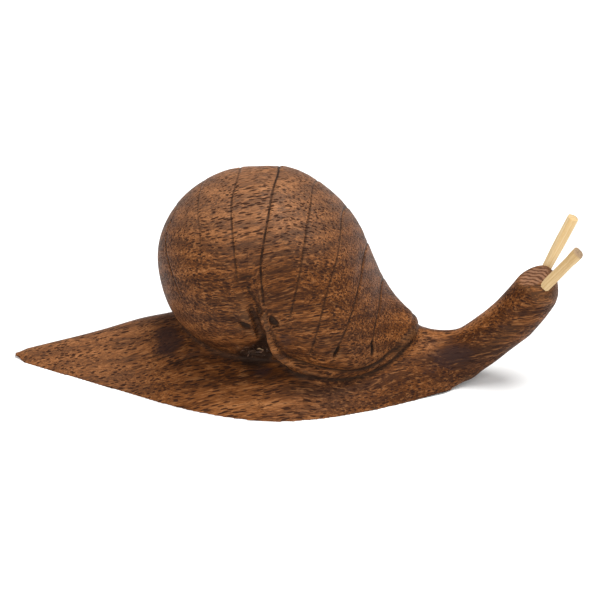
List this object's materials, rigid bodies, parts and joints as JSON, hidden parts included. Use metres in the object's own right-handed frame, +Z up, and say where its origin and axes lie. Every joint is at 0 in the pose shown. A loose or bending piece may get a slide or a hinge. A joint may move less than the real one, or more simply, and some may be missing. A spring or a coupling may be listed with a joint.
{
  "type": "snail figurine",
  "caption": "Carved wooden snail with a ball-shaped shell, a flared lip, a leaf-shaped flat foot, a raised neck and glued bamboo pegs as tentacles.",
  "frame": {"origin": "on the flat underside of the foot, straight below the middle of the shell's ball", "axes": "+X towards the head, +Y towards the snail's left side, +Z up"},
  "size_m": [0.1295, 0.052, 0.049],
  "materials": {
    "carved_wood": "hand-rubbed wax, satin",
    "split_bamboo": "bare, split along the grain"
  },
  "bodies": {
    "root": {"snail_carving": "carved_wood", "left_tentacle": "split_bamboo", "right_tentacle": "split_bamboo"}
  },
  "joints": []
}
